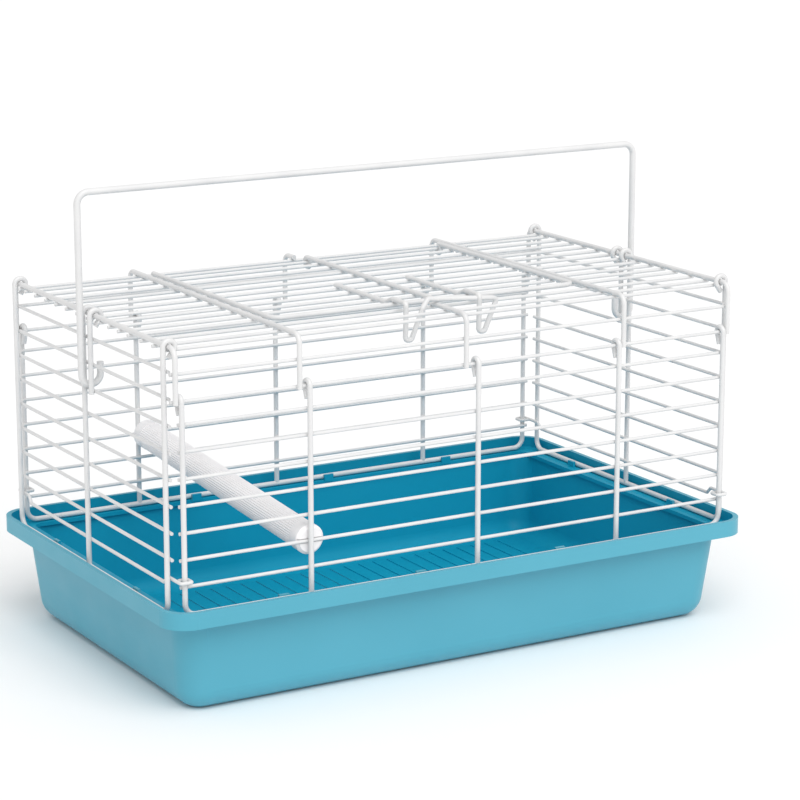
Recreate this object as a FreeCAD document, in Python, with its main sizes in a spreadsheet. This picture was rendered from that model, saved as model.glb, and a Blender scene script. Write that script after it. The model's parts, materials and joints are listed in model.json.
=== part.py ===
import FreeCAD, Part
import os
from math import atan2, cos, degrees, pi, radians, sin, tan

import Sketcher

V = FreeCAD.Vector
doc = FreeCAD.newDocument("bird_transport_cage")

# ---------------------------------------------------------------- sizes
# Millimetres. X is the cage's length, Y its depth (front = -Y), Z is up,
# and the origin is the middle of the tray's underside.
SIZES = {
    "tray_half_length": 181.2,
    "tray_half_depth": 114.4,
    "tray_height": 60.0,
    "tray_wall": 2.4,
    "tray_floor": 2.5,
    "tray_inset_top": 10.0,
    "tray_inset_foot": 15.5,
    "tray_inset_ledge": 14.6,
    "tray_corner": 15.0,
    "tray_foot_round": 13.0,
    "rim_depth": 9.0,
    "ledge_height": 53.9,
    "frame_wire": 2.85,
    "line_wire": 1.9,
    "handle_wire": 3.7,
    "weld_sink": 0.15,
    "loop_gap": 0.4,
    "low_wire_height": 70.0,
    "wire_pitch": 14.0,
    "long_wall_pitch": 14.2,
    "frame_foot": 55.65,
    "strip_foot": 167.0,
    "roof_height": 194.6,
    "rail_half_span": 171.0,
    "hoop_offset": 100.6,
    "hoop_half_depth": 102.3,
    "end_upright_y": 95.4,
    "long_upright_x": 168.05,
    "near_upright_x": 95.0,
    "far_upright_x": 97.6,
    "centre_upright_x": 7.0,
    "hatch_middle_x": 5.0,
    "hatch_half_width": 94.5,
    "hatch_hinge_y": 84.0,
    "hatch_front_y": -62.0,
    "handle_top": 260.0,
    "handle_leg_x": 177.85,
    "handle_hook_round": 5.5,
    "perch_radius": 8.0,
    "perch_x": -94.0,
}

sheet = doc.addObject("Spreadsheet::Sheet", "Dims")
for row, (alias, value) in enumerate(SIZES.items(), start=1):
    sheet.set("A%d" % row, alias)
    sheet.set("B%d" % row, str(value))
    sheet.setAlias("B%d" % row, alias)
doc.recompute()


def size(alias):
    """Value of a named size in the sheet."""
    return float(sheet.get(alias))


FRAME_R = size("frame_wire") / 2
LINE_R = size("line_wire") / 2
HANDLE_R = size("handle_wire") / 2
WELD = FRAME_R + LINE_R - size("weld_sink")
LOW_Z = size("low_wire_height")
PITCH = size("wire_pitch")
LONG_PITCH = size("long_wall_pitch")
ROOF_Z = size("roof_height")
STRIP_Z = size("strip_foot")
RAIL_X = size("rail_half_span")
HOOP_Y = size("hoop_half_depth")
ROOF_WIRE_Z = ROOF_Z - WELD
STRIP_Y = HOOP_Y - WELD
END_LOOP_R = 2 * FRAME_R + size("loop_gap")
LONG_LOOP_R = LINE_R + FRAME_R + size("loop_gap")
END_X = RAIL_X + END_LOOP_R
LONG_Y = STRIP_Y + LONG_LOOP_R
END_LINE_X = END_X - WELD
LONG_LINE_Y = LONG_Y - WELD
FOOT_Z = size("frame_foot")
UPRIGHT_FOOT = FOOT_Z + FRAME_R - 0.4

parts = []


# ---------------------------------------------------------------- helpers
def keep(obj, label):
    """Marks an object as a finished sub-part with its own name."""
    obj.Label = label
    parts.append(obj)
    return obj


def new_sketch(body, name, plane, offset):
    """Sketch on one of the body's origin planes, lifted along its normal."""
    sketch = body.newObject("Sketcher::SketchObject", name)
    role = plane + "_Plane"
    support = [f for f in body.Origin.OriginFeatures if f.Role == role][0]
    sketch.AttachmentSupport = [(support, "")]
    sketch.MapMode = "FlatFace"
    sketch.AttachmentOffset = FreeCAD.Placement(V(0, 0, offset), FreeCAD.Rotation())
    return sketch


def free_sketch(name, z):
    """Level sketch at a height, for lofts and extrusions."""
    sketch = doc.addObject("Sketcher::SketchObject", name)
    sketch.Placement.Base = V(0, 0, z)
    return sketch


def rounded_rect(sketch, half_x, half_y, radius):
    """Adds a centred rectangle with round corners."""
    for sx, sy, first in ((1, 1, 0), (-1, 1, 90), (-1, -1, 180), (1, -1, 270)):
        centre = V(sx * (half_x - radius), sy * (half_y - radius), 0)
        circle = Part.Circle(centre, V(0, 0, 1), radius)
        arc = Part.ArcOfCircle(circle, radians(first), radians(first + 90))
        sketch.addGeometry(arc, False)
    x, y = half_x, half_y
    a, b = half_x - radius, half_y - radius
    for p, q in (((a, y), (-a, y)), ((-x, b), (-x, -b)), ((-a, -y), (a, -y)), ((x, -b), (x, b))):
        sketch.addGeometry(Part.LineSegment(V(p[0], p[1], 0), V(q[0], q[1], 0)), False)


def rounded_path(points, radius):
    """Lines through the points, each corner eased by an arc."""
    pts = [V(*p) for p in points]
    edges = []
    start = pts[0]
    for i in range(1, len(pts) - 1):
        corner = pts[i]
        back = (pts[i - 1] - corner).normalize()
        ahead = (pts[i + 1] - corner).normalize()
        half = back.getAngle(ahead) / 2
        if abs(half - pi / 2) < 1e-4:
            continue
        trim = radius / abs(sin(half) / cos(half))
        arc_start = corner + back * trim
        arc_end = corner + ahead * trim
        bisector = (back + ahead).normalize()
        centre = corner + bisector * (radius / sin(half))
        arc_mid = centre - bisector * radius
        edges.append(("line", start, arc_start))
        edges.append(("arc", arc_start, arc_mid, arc_end))
        start = arc_end
    edges.append(("line", start, pts[-1]))
    return edges


def path_curves(edges):
    """Curves of a rounded path."""
    curves = []
    for edge in edges:
        if edge[0] == "line":
            if (edge[1] - edge[2]).Length > 1e-6:
                curves.append(Part.LineSegment(edge[1], edge[2]))
        else:
            curves.append(Part.Arc(edge[1], edge[2], edge[3]))
    return curves


def add_path(sketch, points, radius):
    """Draws a rounded path in a sketch from flat points."""
    flat = [(p[0], p[1], 0) for p in points]
    for curve in path_curves(rounded_path(flat, radius)):
        sketch.addGeometry(curve, False)


def add_wire_circle(sketch, x, y, alias):
    """Draws the wire's round section, its radius bound to the sheet."""
    index = sketch.addGeometry(Part.Circle(V(x, y, 0), V(0, 0, 1), size(alias) / 2), False)
    constraint = sketch.addConstraint(Sketcher.Constraint("Radius", index, size(alias) / 2))
    sketch.setExpression("Constraints[%d]" % constraint, "Dims.%s / 2" % alias)


def pipe(body, path, profile):
    """Sweeps a body's wire section along its path."""
    feature = body.newObject("PartDesign::AdditivePipe", body.Name + "_pipe")
    feature.Profile = profile
    feature.Spine = path
    feature.Mode = "Standard"
    body.Tip = feature
    return feature


def new_body(name):
    """Empty PartDesign body."""
    return doc.addObject("PartDesign::Body", name)


def arc_points(cy, cz, radius, first, last):
    """Arc start, middle and end in a sketch plane."""
    angles = (first, (first + last) / 2, last)
    return [V(cy + radius * cos(radians(a)), cz + radius * sin(radians(a)), 0) for a in angles]


def rod(name, start, direction, length):
    """Straight line wire, its diameter and length bound to the sheet."""
    wire = doc.addObject("Part::Cylinder", name)
    wire.setExpression("Radius", "Dims.line_wire / 2")
    wire.setExpression("Height", length)
    wire.Placement = FreeCAD.Placement(start, FreeCAD.Rotation(V(0, 0, 1), direction))
    return wire


def rod_set(label, starts, direction, length):
    """A row of equal straight wires kept as separate solids."""
    wires = [rod("%s_%d" % (label, i), s, direction, length) for i, s in enumerate(starts)]
    group = doc.addObject("Part::Compound", label)
    group.Links = wires
    return keep(group, label)


def bent_wire(label, points, radius, alias):
    """Wire bent in three directions, swept along its centre line."""
    spine = Part.Wire([c.toShape() for c in path_curves(rounded_path(points, radius))])
    start = V(*points[0])
    direction = V(*points[1]) - start
    section = Part.Wire([Part.Circle(start, direction, size(alias) / 2).toShape()])
    wire = doc.addObject("Part::Feature", label)
    wire.Shape = spine.makePipeShell([section], True, False)
    wire.Placement = FreeCAD.Placement()
    return keep(wire, label)


# ---------------------------------------------------------------- tray
def tray_loft(name, foot_z, top_z, foot_grow, top_grow, corner, rounding):
    """Tapered tub between a foot outline and a rim outline, foot edge rounded."""
    outlines = []
    for level, z, grow in (("foot", foot_z, foot_grow), ("rim", top_z, top_grow)):
        sketch = free_sketch("%s_%s" % (name, level), z)
        half_x = size("tray_half_length") + grow
        half_y = size("tray_half_depth") + grow
        rounded_rect(sketch, half_x, half_y, corner)
        outlines.append(sketch)
    loft = doc.addObject("Part::Loft", name)
    loft.Sections = outlines
    loft.Solid = True
    loft.Ruled = True
    doc.recompute()
    edges = []
    for number, edge in enumerate(loft.Shape.Edges, start=1):
        box = edge.BoundBox
        if box.ZMax - box.ZMin < 1e-3 and abs(box.ZMin - foot_z) < 1e-3:
            edges.append((number, rounding, rounding))
    fillet = doc.addObject("Part::Fillet", name + "_rounded")
    fillet.Base = loft
    fillet.Edges = edges
    return fillet


def ring(name, z, outer_shrink, inner_shrink, height):
    """Level band between two rounded outlines."""
    sketch = free_sketch(name + "_outline", z)
    for shrink in (outer_shrink, inner_shrink):
        half_x = size("tray_half_length") - shrink
        half_y = size("tray_half_depth") - shrink
        rounded_rect(sketch, half_x, half_y, max(size("tray_corner") - shrink * 0.6, 4.0))
    band = doc.addObject("Part::Extrusion", name)
    band.Base = sketch
    band.DirMode = "Custom"
    band.Dir = V(0, 0, 1)
    band.LengthFwd = height
    band.Solid = True
    return band


def box(name, x, y, z, lx, ly, lz):
    """Block given by its lowest corner and its sides."""
    block = doc.addObject("Part::Box", name)
    block.Length = lx
    block.Width = ly
    block.Height = lz
    block.Placement.Base = V(x, y, z)
    return block


def build_tray():
    """Tub, rim with its channel, guide tabs and floor ribs."""
    wall = size("tray_wall")
    ledge = size("ledge_height")
    inset_top = size("tray_inset_top")
    inset_foot = size("tray_inset_foot")
    round_r = size("tray_foot_round")
    outer = tray_loft("tub_outer", 0, ledge - 1.0, -inset_foot, -inset_top, 14.0, round_r)
    inner = tray_loft("tub_inner", size("tray_floor"), ledge + 4.0,
                      -inset_foot - wall, -inset_top - wall + 0.4, 11.6, round_r - wall)
    ledge_plate = ring("ledge_plate", ledge - 2.2, 0.8, inset_top + 1.0, 2.2)
    rim = ring("rim_wall", size("tray_height") - size("rim_depth"), 0.0, 2.6, size("rim_depth"))
    rim.setExpression("LengthFwd", "Dims.rim_depth")
    shell = doc.addObject("Part::MultiFuse", "tray_shell")
    shell.Shapes = [outer, ledge_plate, rim]
    ledge_lip = ring("ledge_lip", ledge - 2.3, inset_top + 0.5, size("tray_inset_ledge"), 2.2)
    hollow = doc.addObject("Part::Cut", "tray_hollow")
    hollow.Base = shell
    hollow.Tool = inner
    extras = [ledge_lip]
    tab_y = LONG_Y - FRAME_R - 1.25
    tab_x = END_X - FRAME_R - 1.25
    for i, x in enumerate((-62.0, 27.0, 110.0)):
        extras.append(box("tab_back_%d" % i, x - 3, tab_y - 0.8, ledge - 1.0, 6, 1.6, 4.4))
        extras.append(box("tab_front_%d" % i, -x - 3, -tab_y - 0.8, ledge - 1.0, 6, 1.6, 4.4))
    for i, y in enumerate((-52.0, 52.0)):
        extras.append(box("tab_right_%d" % i, tab_x - 0.8, y - 3, ledge - 1.0, 1.6, 6, 4.4))
        extras.append(box("tab_left_%d" % i, -tab_x - 0.8, y - 3, ledge - 1.0, 1.6, 6, 4.4))
    rib_half = size("tray_half_depth") - inset_foot - wall - round_r + 1.0
    rib_reach = size("tray_half_length") - inset_foot - round_r - 4.0
    count = int(rib_reach // 10)
    for i in range(-count, count + 1):
        extras.append(box("floor_rib_%d" % (i + count), i * 10.0 - 1.5, -rib_half,
                          size("tray_floor") - 0.5, 3.0, 2 * rib_half, 1.0))
    tray = doc.addObject("Part::MultiFuse", "tray")
    tray.Shapes = [hollow] + extras
    keep(tray, "tray")


# ---------------------------------------------------------------- roof
def hoop(label, x):
    """Roof wire that runs front to back and turns down at both edges."""
    body = new_body(label)
    path = new_sketch(body, label + "_path", "YZ", x)
    add_path(path, [(-HOOP_Y, STRIP_Z - 1.0), (-HOOP_Y, ROOF_Z), (HOOP_Y, ROOF_Z), (HOOP_Y, STRIP_Z - 1.0)], 5.0)
    section = new_sketch(body, label + "_section", "XY", STRIP_Z - 1.0)
    add_wire_circle(section, x, -HOOP_Y, "frame_wire")
    pipe(body, path, section)
    keep(body, label)


def roof_stub(label, x, side, inner_y):
    """Short roof wire from one edge to the hatch opening."""
    body = new_body(label)
    path = new_sketch(body, label + "_path", "YZ", x)
    add_path(path, [(side * HOOP_Y, STRIP_Z - 1.0), (side * HOOP_Y, ROOF_Z), (inner_y, ROOF_Z)], 5.0)
    section = new_sketch(body, label + "_section", "XY", STRIP_Z - 1.0)
    add_wire_circle(section, x, side * HOOP_Y, "frame_wire")
    pipe(body, path, section)
    keep(body, label)


FRONT_ROOF_Y = (-66.5, -80.5, -92.7)
BACK_ROOF_Y = (size("hatch_hinge_y"), 92.7)
HATCH_WIRE_Y = (70.0, 56.0, 42.0, 28.0, 14.0, 0.0, -14.0, -27.0, -39.0, -51.0)


def build_roof():
    """Rails, hoops, line wires and the two edge strips."""
    hoop("roof_rail_left", -RAIL_X)
    hoop("roof_rail_right", RAIL_X)
    hoop("roof_hoop_left", -size("hoop_offset"))
    hoop("roof_hoop_right", size("hoop_offset"))
    roof_stub("roof_stub_front", -0.4, -1, FRONT_ROOF_Y[0] + 1.0)
    roof_stub("roof_stub_back", -0.4, 1, 90.5)
    along = V(1, 0, 0)
    reach = RAIL_X + FRAME_R + 0.8
    full = "2 * Dims.rail_half_span + Dims.frame_wire + 1.6"
    for label, rows in (("roof_wires_front", FRONT_ROOF_Y), ("roof_wires_back", BACK_ROOF_Y)):
        starts = [V(-reach, y, ROOF_WIRE_Z) for y in rows]
        rod_set(label, starts, along, full)
    bay = reach - size("hoop_offset") + FRAME_R + 0.8
    bay_length = "Dims.rail_half_span - Dims.hoop_offset + Dims.frame_wire + 1.6"
    for label, x in (("roof_wires_left", -reach), ("roof_wires_right", reach - bay)):
        starts = [V(x, y, ROOF_WIRE_Z) for y in HATCH_WIRE_Y]
        rod_set(label, starts, along, bay_length)
    for label, side in (("edge_wires_front", -1), ("edge_wires_back", 1)):
        starts = [V(-reach, side * STRIP_Y, z) for z in ((STRIP_Z + ROOF_Z) / 2 + 0.5, STRIP_Z)]
        rod_set(label, starts, along, full)


# ---------------------------------------------------------------- wall panels
def add_hanger(path, side, pivot, pivot_z, radius):
    """Wire end that goes over the wire it hangs from and slants back to its own leg."""
    lean = 36.0 if radius > 3.0 else 20.0
    first, last = (0, 180 + lean) if side > 0 else (180, -lean)
    a, b, c = arc_points(pivot, pivot_z, radius, first, last)
    path.addGeometry(Part.Arc(a, b, c), False)
    across = radius - 2 * FRAME_R - 0.3 + radius * cos(radians(lean))
    drop = across / tan(radians(lean))
    path.addGeometry(Part.LineSegment(c, V(c.x + side * across, c.y - drop, 0)), False)


def looped_upright(label, plane, offset, out, loop_radius, pivot, pivot_z, foot_z):
    """Upright wire that curls round the wire it hangs from."""
    body = new_body(label)
    side = 1 if out > pivot else -1
    path = new_sketch(body, label + "_path", plane, offset)
    path.addGeometry(Part.LineSegment(V(out, foot_z, 0), V(out, pivot_z, 0)), False)
    add_hanger(path, side, pivot, pivot_z, loop_radius)
    section = new_sketch(body, label + "_section", "XY", foot_z)
    if plane == "YZ":
        add_wire_circle(section, offset, out, "frame_wire")
    else:
        add_wire_circle(section, out, -offset, "frame_wire")
    pipe(body, path, section)
    keep(body, label)


def looped_frame(label, plane, plane_pos, half, pivot_z, pivot, axis):
    """U-shaped frame whose two ends curl round the wire they hang from."""
    body = new_body(label)
    path = new_sketch(body, label + "_path", plane, plane_pos)
    add_path(path, [(-half, pivot_z), (-half, FOOT_Z), (half, FOOT_Z), (half, pivot_z)], 6.0)
    section = new_sketch(body, label + "_section", "XY", pivot_z)
    if axis == "X":
        add_wire_circle(section, -half, -plane_pos, "frame_wire")
    else:
        add_wire_circle(section, plane_pos, -half, "frame_wire")
    pipe(body, path, section)
    side = 1 if plane_pos * (-1 if axis == "X" else 1) > pivot else -1
    radius = abs(abs(plane_pos) - abs(pivot))
    for number, place in enumerate((-half, half)):
        curl = new_sketch(body, "%s_curl_%d" % (label, number), "YZ" if axis == "X" else "XZ",
                          place if axis == "X" else -place)
        add_hanger(curl, side, pivot, pivot_z, radius)
        ring_end = new_sketch(body, "%s_curl_section_%d" % (label, number), "XY", pivot_z)
        if axis == "X":
            add_wire_circle(ring_end, place, -plane_pos, "frame_wire")
        else:
            add_wire_circle(ring_end, plane_pos, place, "frame_wire")
        pipe(body, curl, ring_end)
    keep(body, label)


def build_long_wall(side, word):
    """Front or back wall: frame, three uprights and its line wires."""
    y = side * LONG_Y
    pivot = side * STRIP_Y
    looped_frame(word + "_frame", "XZ", -y, size("long_upright_x"), STRIP_Z, pivot, "X")
    uprights = {
        "_upright_left": -size("near_upright_x" if side < 0 else "far_upright_x"),
        "_upright_middle": -side * size("centre_upright_x"),
        "_upright_right": size("far_upright_x" if side < 0 else "near_upright_x"),
    }
    for ending, x in uprights.items():
        looped_upright(word + ending, "YZ", x, y, LONG_LOOP_R, pivot, STRIP_Z, UPRIGHT_FOOT)
    reach = size("long_upright_x") + FRAME_R + 0.1
    starts = [V(-reach, side * LONG_LINE_Y, LOW_Z + k * LONG_PITCH) for k in range(7)]
    rod_set(word + "_wires", starts, V(1, 0, 0), "2 * Dims.long_upright_x + Dims.frame_wire + 0.2")


def build_end_wall(side, word):
    """Left or right wall: frame, long and short uprights and its line wires."""
    x = side * END_X
    pivot = side * RAIL_X
    half = size("end_upright_y")
    looped_frame(word + "_frame", "YZ", x, half, ROOF_Z, pivot, "Y")
    long_y = -side * 2.6
    short_y = side * 6.4
    looped_upright(word + "_upright_long", "XZ", -long_y, x, END_LOOP_R, pivot, ROOF_Z, UPRIGHT_FOOT)
    short_foot = LOW_Z + 6 * PITCH - 1.5
    looped_upright(word + "_upright_short", "XZ", -short_y, x, END_LOOP_R, pivot, ROOF_Z, short_foot)
    reach = half + FRAME_R + 0.1
    starts = [V(side * END_LINE_X, -reach, LOW_Z + k * PITCH) for k in range(1, 9)]
    rod_set(word + "_wires", starts, V(0, 1, 0), "2 * Dims.end_upright_y + Dims.frame_wire + 0.2")


def build_corner_latch(side, word):
    """Lowest end-wall wire, hooked round the corner uprights of both long walls."""
    x_run = END_LINE_X
    x_pass = END_X - FRAME_R - LINE_R - 0.4
    corner_x = size("long_upright_x")
    lift = LOW_Z + 3.6
    hook = [
        (corner_x + 2.2, LONG_Y - 3.1, lift),
        (corner_x - 2.9, LONG_Y - 3.1, lift),
        (corner_x - 2.9, LONG_Y + 2.8, lift),
        (corner_x + 3.3, LONG_Y + 2.8, lift),
        (x_pass, LONG_Y - 5.2, lift),
        (x_pass, size("end_upright_y") - 4.6, lift),
        (x_run, size("end_upright_y") - 8.6, LOW_Z),
    ]
    front = [(side * px, -py, pz) for px, py, pz in hook]
    back = [(side * px, py, pz) for px, py, pz in reversed(hook)]
    bent_wire(word + "_latch_wire", front + back, 1.2, "line_wire")


# ---------------------------------------------------------------- hatch
HATCH_AXIS_Z = ROOF_WIRE_Z
HATCH_Z = HATCH_AXIS_Z + LONG_LOOP_R


def build_hatch():
    """Roof hatch: frame and middle wire looped on a roof wire, line wires, latch."""
    hinge_y = size("hatch_hinge_y")
    front_y = size("hatch_front_y")
    half = size("hatch_half_width")
    body = new_body("hatch_frame")
    path = new_sketch(body, "hatch_frame_path", "XY", HATCH_Z)
    add_path(path, [(-half, hinge_y), (-half, front_y), (half, front_y), (half, hinge_y)], 6.0)
    section = new_sketch(body, "hatch_frame_section", "XZ", -hinge_y)
    add_wire_circle(section, -half, HATCH_Z, "frame_wire")
    pipe(body, path, section)
    curl = new_sketch(body, "hatch_frame_curl", "XZ", -hinge_y)
    for x in (-half, half):
        add_wire_circle(curl, x, HATCH_Z, "frame_wire")
    curl.addGeometry(Part.LineSegment(V(-half, HATCH_AXIS_Z, 0), V(half, HATCH_AXIS_Z, 0)), True)
    revolve = body.newObject("PartDesign::Revolution", "hatch_frame_loops")
    revolve.Profile = curl
    revolve.ReferenceAxis = (curl, ["Axis0"])
    revolve.Angle = 250.0
    revolve.Reversed = False
    body.Tip = revolve
    keep(body, "hatch_frame")

    middle = new_body("hatch_middle_wire")
    mid_path = new_sketch(middle, "hatch_middle_path", "YZ", size("hatch_middle_x"))
    mid_front = front_y + FRAME_R - 0.4
    mid_path.addGeometry(Part.LineSegment(V(mid_front, HATCH_Z, 0), V(hinge_y, HATCH_Z, 0)), False)
    a, b, c = arc_points(hinge_y, HATCH_AXIS_Z, LONG_LOOP_R, 90, -160)
    mid_path.addGeometry(Part.Arc(a, b, c), False)
    mid_section = new_sketch(middle, "hatch_middle_section", "XZ", -mid_front)
    add_wire_circle(mid_section, size("hatch_middle_x"), HATCH_Z, "frame_wire")
    pipe(middle, mid_path, mid_section)
    keep(middle, "hatch_middle_wire")

    reach = half + FRAME_R + 0.6
    starts = [V(-reach, y, HATCH_Z - WELD) for y in HATCH_WIRE_Y]
    rod_set("hatch_wires", starts, V(1, 0, 0), "2 * Dims.hatch_half_width + Dims.frame_wire + 1.2")
    build_hatch_latch()


def build_hatch_latch():
    """Spring wire on the hatch with two hairpins that reach below the roof."""
    top = HATCH_Z
    over = top + size("frame_wire") - 0.05
    low = ROOF_Z - 16.8
    rest_y = size("hatch_front_y") + 2 * FRAME_R
    drop_y = size("hatch_front_y") - 13.0
    left, right = -21.5, 24.5
    cross_start, cross_end = -6.5, 36.0
    latch = [
        (left, 2.0, top),
        (left, rest_y + 4.5, top),
        (left, rest_y - 1.5, over),
        (left, drop_y, over),
        (left, drop_y + 0.6, low),
        (left + 3.7, drop_y + 0.6, low),
        (cross_start - 4.6, drop_y, over - 3.4),
        (cross_start, drop_y + 2.6, over + 0.5),
        (cross_end, drop_y + 0.6, over - 2.6),
        (right + 3.7, drop_y + 0.6, low),
        (right, drop_y + 0.6, low),
        (right, drop_y, over),
        (right, rest_y - 1.5, over),
        (right, rest_y + 4.5, top),
        (right, 2.0, top),
    ]
    bent_wire("hatch_latch_wire", latch, 1.8, "frame_wire")


# ---------------------------------------------------------------- handle
def build_handle():
    """Bail handle with a J hook at the foot of each leg."""
    hook_r = size("handle_hook_round")
    leg = size("handle_leg_x")
    foot = LOW_Z + 6 * PITCH + LINE_R + HANDLE_R + 0.3
    centre_z = foot + hook_r
    tip_x = leg - 2 * hook_r
    tip_z = centre_z + 6.2
    top = size("handle_top")
    bend = 6.5
    body = new_body("carry_handle")
    path = new_sketch(body, "carry_handle_path", "XZ", 0)
    c = cos(radians(45)) * bend
    arcs = [
        (V(-tip_x, centre_z, 0), V(-tip_x - hook_r, foot, 0), V(-leg, centre_z, 0)),
        (V(-leg, top - bend, 0), V(-leg + bend - c, top - bend + c, 0), V(-leg + bend, top, 0)),
        (V(leg - bend, top, 0), V(leg - bend + c, top - bend + c, 0), V(leg, top - bend, 0)),
        (V(leg, centre_z, 0), V(leg - hook_r, foot, 0), V(tip_x, centre_z, 0)),
    ]
    lines = [
        (V(-tip_x, tip_z, 0), arcs[0][0]),
        (arcs[0][2], arcs[1][0]),
        (arcs[1][2], arcs[2][0]),
        (arcs[2][2], arcs[3][0]),
        (arcs[3][2], V(tip_x, tip_z, 0)),
    ]
    for i, line in enumerate(lines):
        path.addGeometry(Part.LineSegment(*line), False)
        if i < len(arcs):
            path.addGeometry(Part.Arc(*arcs[i]), False)
    section = new_sketch(body, "carry_handle_section", "XY", tip_z)
    add_wire_circle(section, -tip_x, 0, "handle_wire")
    pipe(body, path, section)
    skew = degrees(atan2(2.0, leg))
    body.Placement = FreeCAD.Placement(V(0, 0, 0), FreeCAD.Rotation(V(0, 0, 1), skew))
    keep(body, "carry_handle")


# ---------------------------------------------------------------- perch
def build_perch():
    """Ribbed perch tube and its two slotted end caps, on the long walls' wires."""
    low = LOW_Z + LONG_PITCH
    high = low + LONG_PITCH
    tilt = atan2(high - low, 2 * LONG_LINE_Y)
    outer = size("perch_radius")
    nose = outer - 1.4
    end = (LONG_Y - FRAME_R - 0.35 - nose * sin(tilt)) / cos(tilt)
    grip = LONG_LINE_Y / cos(tilt)
    place = FreeCAD.Placement(V(size("perch_x"), 0, (low + high) / 2), FreeCAD.Rotation(V(1, 0, 0), degrees(tilt)))
    cap_length = 9.0
    tube_end = end - cap_length

    tube = new_body("perch_tube")
    outline = new_sketch(tube, "perch_tube_outline", "XZ", -tube_end)
    ribs = 40
    points = []
    for i in range(2 * ribs):
        r = outer if i % 2 == 0 else outer - 0.3
        a = i * pi / ribs
        points.append(V(r * cos(a), r * sin(a), 0))
    for i, p in enumerate(points):
        outline.addGeometry(Part.LineSegment(p, points[(i + 1) % len(points)]), False)
    outline.addGeometry(Part.Circle(V(0, 0, 0), V(0, 0, 1), outer - 2.2), False)
    pad = tube.newObject("PartDesign::Pad", "perch_tube_pad")
    pad.Profile = outline
    pad.Length = 2 * tube_end
    tube.Tip = pad
    tube.Placement = place
    keep(tube, "perch_tube")

    for word, side in (("front", -1), ("back", 1)):
        face_y = side * end
        inward = FreeCAD.Rotation(V(0, 0, 1), V(0, -side, 0))
        tip = doc.addObject("Part::Cone", "perch_cap_%s_nose" % word)
        tip.Radius1 = nose
        tip.setExpression("Radius2", "Dims.perch_radius + 0.2")
        tip.Height = 1.6
        tip.Placement = FreeCAD.Placement(V(0, face_y, 0), inward)
        cap = doc.addObject("Part::Cylinder", "perch_cap_%s_disc" % word)
        cap.setExpression("Radius", "Dims.perch_radius + 0.2")
        cap.Height = cap_length - 1.6
        cap.Placement = FreeCAD.Placement(V(0, face_y - side * 1.6, 0), inward)
        plug = doc.addObject("Part::Cylinder", "perch_cap_%s_plug" % word)
        plug.setExpression("Radius", "Dims.perch_radius - 2.22")
        plug.Height = cap_length + 7.0
        plug.Placement = FreeCAD.Placement(V(0, face_y, 0), inward)
        slot_floor = grip - LINE_R - 0.5
        lowest = min(side * slot_floor, side * (end + 1.0))
        slot = box("perch_cap_%s_slot" % word, -12, lowest, -LINE_R - 0.35,
                   24, end + 1.0 - slot_floor, 2 * (LINE_R + 0.35))
        joined = doc.addObject("Part::MultiFuse", "perch_cap_%s_joined" % word)
        joined.Shapes = [tip, cap, plug]
        cut = doc.addObject("Part::Cut", "perch_cap_" + word)
        cut.Base = joined
        cut.Tool = slot
        cut.Placement = place
        keep(cut, "perch_cap_" + word)


build_tray()
build_roof()
for wall_side, wall_word in ((-1, "front"), (1, "back")):
    build_long_wall(wall_side, wall_word)
for wall_side, wall_word in ((-1, "left"), (1, "right")):
    build_end_wall(wall_side, wall_word)
    build_corner_latch(wall_side, wall_word)
build_hatch()
build_handle()
build_perch()
doc.recompute()

# ---------------------------------------------------------------- check and write
for obj in doc.Objects:
    if "Invalid" in obj.State or "Error" in obj.State:
        raise RuntimeError("%s is %s" % (obj.Label, obj.State))
for obj in parts:
    if obj.Shape.isNull() or not obj.Shape.isValid():
        raise RuntimeError(obj.Label + " has no valid shape")

os.makedirs("parts", exist_ok=True)
for obj in parts:
    obj.Shape.exportStep("parts/%s.step" % obj.Label)
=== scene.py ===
"""Studio scene of a small bird transport crate.

White wire cage, teal tray, bail handle, roof hatch and perch.
"""

import json
import logging
from dataclasses import dataclass, field
from enum import Enum
from math import cos, radians, sin
from typing import Sequence

import bpy
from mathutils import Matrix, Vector

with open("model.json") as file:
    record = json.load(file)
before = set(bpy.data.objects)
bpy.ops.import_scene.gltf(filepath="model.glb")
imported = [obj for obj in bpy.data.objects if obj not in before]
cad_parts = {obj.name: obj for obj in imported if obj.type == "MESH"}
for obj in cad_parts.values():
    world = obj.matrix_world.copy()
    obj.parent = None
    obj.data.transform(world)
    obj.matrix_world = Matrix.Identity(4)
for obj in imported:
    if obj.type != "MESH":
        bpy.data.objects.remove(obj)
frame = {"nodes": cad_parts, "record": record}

LOG = logging.getLogger("bird_crate")
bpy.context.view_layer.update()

Colour = tuple[float, float, float, float]
Span = tuple[float, float]
NOISE_SPAN: Span = (0.3, 0.7)


class Body(Enum):
    """Rigid bodies of the crate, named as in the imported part."""

    TRAY = "tray"
    CAGE = "cage"
    HATCH = "hatch"
    HANDLE = "handle"
    PERCH = "perch"


class Slot(Enum):
    """Material slots of the part's record."""

    TRAY = "tray_plastic"
    WIRE = "wire_coating"
    PERCH = "perch_plastic"


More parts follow.
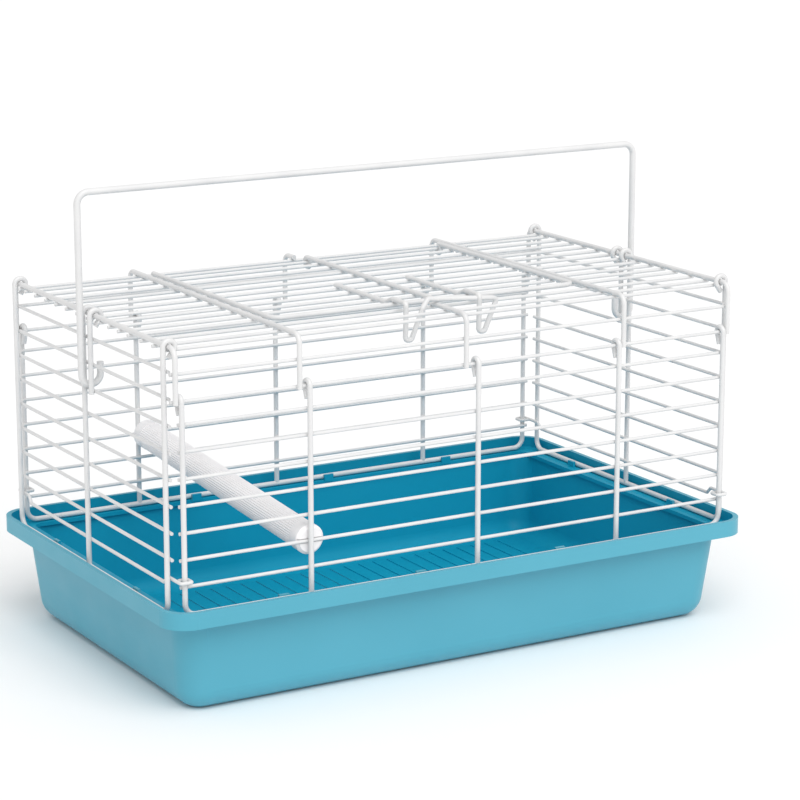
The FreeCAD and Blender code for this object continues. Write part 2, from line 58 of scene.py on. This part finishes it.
class NodeSheet:
    """A material's node tree with short calls for the nodes that the finishes share."""

    # Places of a mix node's colour sockets, which share their names with its other sockets.
    MIX_BASE = 6
    MIX_OVER = 7
    MIX_RESULT = 2

    def __init__(self, name: str) -> None:
        """Starts an empty material that ends in a Principled shader.

        Args:
            name: the material's name.
        """
        self.material = bpy.data.materials.new(name)
        self.material.use_nodes = True
        tree = self.material.node_tree
        tree.nodes.clear()
        self.nodes = tree.nodes
        self.links = tree.links
        self.shader = self.nodes.new("ShaderNodeBsdfPrincipled")
        output = self.nodes.new("ShaderNodeOutputMaterial")
        self.join(self.shader.outputs["BSDF"], output.inputs["Surface"])

    def join(self, source: bpy.types.NodeSocket, target: bpy.types.NodeSocket) -> None:
        """Links two sockets."""
        self.links.new(source, target)

    def place(self, centre: Vector, stretch: Sequence[float]) -> bpy.types.NodeSocket:
        """Gives object coordinates centred on the piece.

        Args:
            centre: the piece's middle, in metres.
            stretch: scale of the pattern along X, Y and Z.

        Returns:
            The mapped coordinates' socket.
        """
        coords = self.nodes.new("ShaderNodeTexCoord")
        mapping = self.nodes.new("ShaderNodeMapping")
        mapping.vector_type = "POINT"
        mapping.inputs["Location"].default_value = [-c * s for c, s in zip(centre, stretch)]
        mapping.inputs["Scale"].default_value = stretch
        self.join(coords.outputs["Object"], mapping.inputs["Vector"])
        return mapping.outputs["Vector"]

    def noise(self, where: bpy.types.NodeSocket, scale: float,
              detail: float = 3.0) -> bpy.types.NodeSocket:
        """Adds a noise field.

        Args:
            where: the coordinates it reads.
            scale: cycles per metre of those coordinates.
            detail: octaves of finer noise.

        Returns:
            The noise value's socket.
        """
        noise = self.nodes.new("ShaderNodeTexNoise")
        noise.inputs["Scale"].default_value = scale
        noise.inputs["Detail"].default_value = detail
        self.join(where, noise.inputs["Vector"])
        return noise.outputs["Fac"]

    def above(self, value: bpy.types.NodeSocket, limit: float,
              below: bool = False) -> bpy.types.NodeSocket:
        """Compares a value with a limit.

        Args:
            value: the value that is tested.
            limit: the number it is tested against.
            below: tests for less than the limit instead.

        Returns:
            The socket of a number that is 1 where the test holds and 0 elsewhere.
        """
        test = self.nodes.new("ShaderNodeMath")
        test.operation = "LESS_THAN" if below else "GREATER_THAN"
        test.inputs[1].default_value = limit
        self.join(value, test.inputs[0])
        return test.outputs["Value"]

    def combine(self, operation: str, first: bpy.types.NodeSocket,
                second: bpy.types.NodeSocket) -> bpy.types.NodeSocket:
        """Joins two numbers by a sum, a product or the larger one.

        Args:
            operation: the maths node's operation.
            first: the first number.
            second: the second number.

        Returns:
            The result's socket.
        """
        maths = self.nodes.new("ShaderNodeMath")
        maths.operation = operation
        self.join(first, maths.inputs[0])
        self.join(second, maths.inputs[1])
        return maths.outputs["Value"]

    # Mask of the tray's painted shade: inward faces and low up-facing faces.
    def shaded_inside_zone(self, top: float) -> bpy.types.NodeSocket:
        """Marks the surfaces that face the piece's middle, or face up under a height.

        Args:
            top: the height in metres.

        Returns:
            The socket of a number that is 1 on those surfaces and 0 elsewhere.
        """
        coords = self.nodes.new("ShaderNodeTexCoord")
        facing = self.nodes.new("ShaderNodeSeparateXYZ")
        spot = self.nodes.new("ShaderNodeSeparateXYZ")
        self.join(coords.outputs["Normal"], facing.inputs["Vector"])
        self.join(coords.outputs["Object"], spot.inputs["Vector"])
        across = self.combine("MULTIPLY", facing.outputs["X"], spot.outputs["X"])
        along = self.combine("MULTIPLY", facing.outputs["Y"], spot.outputs["Y"])
        inward = self.above(self.combine("ADD", across, along), -0.02, below=True)
        up = self.above(facing.outputs["Z"], 0.5)
        low = self.above(spot.outputs["Z"], top, below=True)
        return self.combine("MAXIMUM", inward, self.combine("MULTIPLY", up, low))

    def blend(self, mask: bpy.types.NodeSocket, base: bpy.types.NodeSocket,
              over: bpy.types.NodeSocket) -> bpy.types.NodeSocket:
        """Mixes two colours by a mask.

        Args:
            mask: 0 shows the base, 1 the other colour.
            base: the base colour.
            over: the other colour.

        Returns:
            The mixed colour's socket.
        """
        mix = self.nodes.new("ShaderNodeMix")
        mix.data_type = "RGBA"
        self.join(mask, mix.inputs["Factor"])
        self.join(base, mix.inputs[self.MIX_BASE])
        self.join(over, mix.inputs[self.MIX_OVER])
        return mix.outputs[self.MIX_RESULT]

    def ramp(self, value: bpy.types.NodeSocket, dark: Colour,
             light: Colour) -> bpy.types.NodeSocket:
        """Turns a value into a colour between two shades.

        Args:
            value: the driving value.
            dark: colour at the low end.
            light: colour at the high end.

        Returns:
            The colour's socket.
        """
        ramp = self.nodes.new("ShaderNodeValToRGB")
        stops = ramp.color_ramp.elements
        for stop, position, colour in zip(stops, NOISE_SPAN, (dark, light)):
            stop.position = position
            stop.color = colour
        self.join(value, ramp.inputs["Fac"])
        return ramp.outputs["Color"]

    def tint(self, value: bpy.types.NodeSocket, dark: Colour, light: Colour) -> None:
        """Colours the shader between two shades by a value.

        Args:
            value: the driving value.
            dark: colour at the low end.
            light: colour at the high end.
        """
        self.join(self.ramp(value, dark, light), self.shader.inputs["Base Color"])

    def span(self, value: bpy.types.NodeSocket, start: Span, end: Span) -> bpy.types.NodeSocket:
        """Maps a value from one range to another.

        Args:
            value: the value.
            start: the range it is read in.
            end: the range it is given in.

        Returns:
            The mapped value's socket.
        """
        span = self.nodes.new("ShaderNodeMapRange")
        for name, number in zip(("From Min", "From Max", "To Min", "To Max"), start + end):
            span.inputs[name].default_value = number
        self.join(value, span.inputs["Value"])
        return span.outputs["Result"]

    def rough(self, value: bpy.types.NodeSocket, ends: Span) -> None:
        """Drives the roughness between two numbers.

        Args:
            value: the driving value.
            ends: roughness at the value's low and high end.
        """
        self.join(self.span(value, NOISE_SPAN, ends), self.shader.inputs["Roughness"])

    def bump(self, value: bpy.types.NodeSocket, strength: float, depth: float) -> None:
        """Raises the surface by a value.

        Args:
            value: the height value.
            strength: how much of the bump shows.
            depth: height of the relief, in metres.
        """
        bump = self.nodes.new("ShaderNodeBump")
        bump.inputs["Strength"].default_value = strength
        bump.inputs["Distance"].default_value = depth
        self.join(value, bump.inputs["Height"])
        self.join(bump.outputs["Normal"], self.shader.inputs["Normal"])


@dataclass(frozen=True)
class PowderCoat:
    """White powder coating on steel wire, with a faint orange-peel surface."""

    name: str = "white_powder_coat"
    shade: Colour = (0.715, 0.715, 0.718, 1.0)
    bright: Colour = (0.775, 0.772, 0.768, 1.0)
    roughness: Span = (0.28, 0.42)
    centre: tuple[float, float, float] = (0.0, 0.0, 0.13)
    cloud_scale: float = 45.0
    gloss_scale: float = 160.0
    peel_scale: float = 900.0
    peel_detail: float = 2.0
    peel_strength: float = 0.25
    peel_depth: float = 0.00008

    def build(self) -> bpy.types.Material:
        """Makes the coating's material."""
        sheet = NodeSheet(self.name)
        where = sheet.place(Vector(self.centre), (1.0, 1.0, 1.0))
        sheet.tint(sheet.noise(where, self.cloud_scale), self.shade, self.bright)
        sheet.rough(sheet.noise(where, self.gloss_scale), self.roughness)
        peel = sheet.noise(where, self.peel_scale, self.peel_detail)
        sheet.bump(peel, self.peel_strength, self.peel_depth)
        return sheet.material


@dataclass(frozen=True)
class MouldedTeal:
    """Teal injection-moulded plastic with a soft gloss and slight flow clouds."""

    name: str = "teal_moulding"
    deep: Colour = (0.076, 0.375, 0.495, 1.0)
    light: Colour = (0.090, 0.405, 0.530, 1.0)
    # Painted shade: a deeper, more saturated teal for the inside of the tray, which is the same
    # moulding as the outside.
    shaded_inside_deep: Colour = (0.006, 0.320, 0.490, 1.0)
    shaded_inside_light: Colour = (0.010, 0.345, 0.525, 1.0)
    shaded_inside_top: float = 0.056
    # Reflection level outside, then inside; the lower inside level is painted shade.
    sheen: Span = (0.5, 0.12)
    roughness: Span = (0.36, 0.46)
    centre: tuple[float, float, float] = (0.0, 0.0, 0.03)
    stretch: tuple[float, float, float] = (1.0, 1.0, 1.6)
    flow_scale: float = 9.0
    flow_detail: float = 4.0
    gloss_scale: float = 40.0
    grain_scale: float = 1400.0
    grain_detail: float = 2.0
    grain_strength: float = 0.3
    grain_depth: float = 0.00006
    refraction: float = 1.5

    def build(self) -> bpy.types.Material:
        """Makes the moulding's material."""
        sheet = NodeSheet(self.name)
        where = sheet.place(Vector(self.centre), self.stretch)
        flow = sheet.noise(where, self.flow_scale, self.flow_detail)
        # Painted shade: the masked inside faces take the deeper teal instead of the outside
        # colour.
        painted_shade_mask = sheet.shaded_inside_zone(self.shaded_inside_top)
        outside = sheet.ramp(flow, self.deep, self.light)
        painted_inside_shade = sheet.ramp(flow, self.shaded_inside_deep, self.shaded_inside_light)
        sheet.join(sheet.blend(painted_shade_mask, outside, painted_inside_shade), sheet.shader.inputs["Base Color"])
        # Painted shade: the masked inside faces reflect less than the outside.
        sheen = sheet.span(painted_shade_mask, (0.0, 1.0), self.sheen)
        sheet.join(sheen, sheet.shader.inputs["Specular IOR Level"])
        sheet.rough(sheet.noise(where, self.gloss_scale), self.roughness)
        grain = sheet.noise(where, self.grain_scale, self.grain_detail)
        sheet.bump(grain, self.grain_strength, self.grain_depth)
        sheet.shader.inputs["IOR"].default_value = self.refraction
        return sheet.material


@dataclass(frozen=True)
class PerchPlastic:
    """Satin white plastic of the perch tube and its caps."""

    name: str = "white_perch_plastic"
    shade: Colour = (0.880, 0.862, 0.868, 1.0)
    bright: Colour = (0.930, 0.912, 0.918, 1.0)
    roughness: Span = (0.38, 0.52)
    centre: tuple[float, float, float] = (-0.094, 0.0, 0.091)
    stretch: tuple[float, float, float] = (1.0, 0.25, 1.0)
    cloud_scale: float = 120.0
    gloss_scale: float = 260.0
    grain_scale: float = 1100.0
    grain_detail: float = 2.0
    grain_strength: float = 0.3
    grain_depth: float = 0.00008

    def build(self) -> bpy.types.Material:
        """Makes the perch's material."""
        sheet = NodeSheet(self.name)
        where = sheet.place(Vector(self.centre), self.stretch)
        sheet.tint(sheet.noise(where, self.cloud_scale), self.shade, self.bright)
        sheet.rough(sheet.noise(where, self.gloss_scale), self.roughness)
        grain = sheet.noise(where, self.grain_scale, self.grain_detail)
        sheet.bump(grain, self.grain_strength, self.grain_depth)
        return sheet.material


@dataclass(frozen=True)
class PaleGround:
    """Matt white studio ground."""

    name: str = "pale_ground"
    shade: Colour = (0.950, 0.950, 0.950, 1.0)
    bright: Colour = (0.975, 0.975, 0.975, 1.0)
    roughness: Span = (0.75, 0.85)
    cloud_scale: float = 1.5
    gloss_scale: float = 4.0
    sheen: float = 0.2

    def build(self) -> bpy.types.Material:
        """Makes the ground's material."""
        sheet = NodeSheet(self.name)
        where = sheet.place(Vector((0.0, 0.0, 0.0)), (1.0, 1.0, 1.0))
        sheet.tint(sheet.noise(where, self.cloud_scale), self.shade, self.bright)
        sheet.rough(sheet.noise(where, self.gloss_scale), self.roughness)
        sheet.shader.inputs["Specular IOR Level"].default_value = self.sheen
        return sheet.material


@dataclass
class DressedNodes:
    """A group of the part's own pieces that share one body and one finish."""

    body: Body
    slot: Slot
    names: tuple[str, ...]

    def dress(self, material: bpy.types.Material) -> None:
        """Gives every piece of the group the finish.

        Args:
            material: the finish's material.
        """
        for name in self.names:
            piece = frame["nodes"][name]
            piece.data.materials.clear()
            piece.data.materials.append(material)
            LOG.info("%s on %s wears %s in slot %s", name, self.body.value, material.name,
                     self.slot.value)


@dataclass
class StudioCamera:
    """Camera that looks at the crate from its front left, a little above it."""

    target: Vector = field(default_factory=lambda: Vector((0.0186, 0.0, 0.125)))
    distance: float = 1.5623
    azimuth: float = -30.3
    elevation: float = 13.4
    lens: float = 123.73
    sensor: float = 36.0

    def place(self) -> bpy.types.Object:
        """Adds the camera and makes it the scene's own.

        Returns:
            The camera's object.
        """
        around, up = radians(self.azimuth), radians(self.elevation)
        away = Vector((sin(around) * cos(up), -cos(around) * cos(up), sin(up)))
        data = bpy.data.cameras.new("studio_camera")
        data.lens = self.lens
        data.sensor_width = self.sensor
        data.clip_end = 50.0
        camera = bpy.data.objects.new("studio_camera", data)
        camera.location = self.target + self.distance * away
        camera.rotation_euler = (-away).to_track_quat("-Z", "Y").to_euler()
        bpy.context.scene.collection.objects.link(camera)
        bpy.context.scene.camera = camera
        return camera


@dataclass
class StudioLight:
    """Broad soft light from above and in front, in an evenly lit white room."""

    room: float = 0.62
    sun_power: float = 1.9
    sun_spread: float = 55.0
    sun_from: tuple[float, float, float] = (-0.1, -0.75, 1.0)

    def place(self) -> None:
        """Adds the lamp and the room's light."""
        world = bpy.data.worlds.new("white_room")
        world.use_nodes = True
        backdrop = world.node_tree.nodes["Background"]
        backdrop.inputs["Color"].default_value = (1.0, 1.0, 1.0, 1.0)
        backdrop.inputs["Strength"].default_value = self.room
        bpy.context.scene.world = world
        data = bpy.data.lights.new("soft_key", "SUN")
        data.energy = self.sun_power
        data.angle = radians(self.sun_spread)
        lamp = bpy.data.objects.new("soft_key", data)
        lamp.rotation_euler = Vector(self.sun_from).to_track_quat("Z", "Y").to_euler()
        bpy.context.scene.collection.objects.link(lamp)
        bpy.context.scene.view_settings.view_transform = "Standard"


@dataclass
class StudioFloor:
    """Wide pale floor that the crate stands on."""

    half_size: float = 14.0
    finish: PaleGround = field(default_factory=PaleGround)

    def build(self) -> bpy.types.Object:
        """Adds the floor.

        Returns:
            The floor's object.
        """
        bpy.ops.object.select_all(action="DESELECT")
        bpy.ops.mesh.primitive_plane_add(size=2 * self.half_size, location=(0.0, 0.0, 0.0))
        floor = bpy.context.active_object
        floor.name = "studio_floor"
        floor.data.materials.append(self.finish.build())
        return floor


def nodes_of(body: Body) -> tuple[str, ...]:
    """Lists the part's pieces that ride on a body."""
    return tuple(frame["record"]["behaviour"]["bodies"][body.value])


def main() -> None:
    """Builds the finishes, dresses the crate and sets the studio."""
    logging.basicConfig(level=logging.INFO, format="%(name)s %(message)s")
    coat = PowderCoat().build()
    groups = [
        (DressedNodes(Body.TRAY, Slot.TRAY, nodes_of(Body.TRAY)), MouldedTeal().build()),
        (DressedNodes(Body.CAGE, Slot.WIRE, nodes_of(Body.CAGE)), coat),
        (DressedNodes(Body.HATCH, Slot.WIRE, nodes_of(Body.HATCH)), coat),
        (DressedNodes(Body.HANDLE, Slot.WIRE, nodes_of(Body.HANDLE)), coat),
        (DressedNodes(Body.PERCH, Slot.PERCH, nodes_of(Body.PERCH)), PerchPlastic().build()),
    ]
    for group, material in groups:
        group.dress(material)
    StudioFloor().build()
    StudioLight().place()
    StudioCamera().place()


if __name__ == "__main__":
    main()
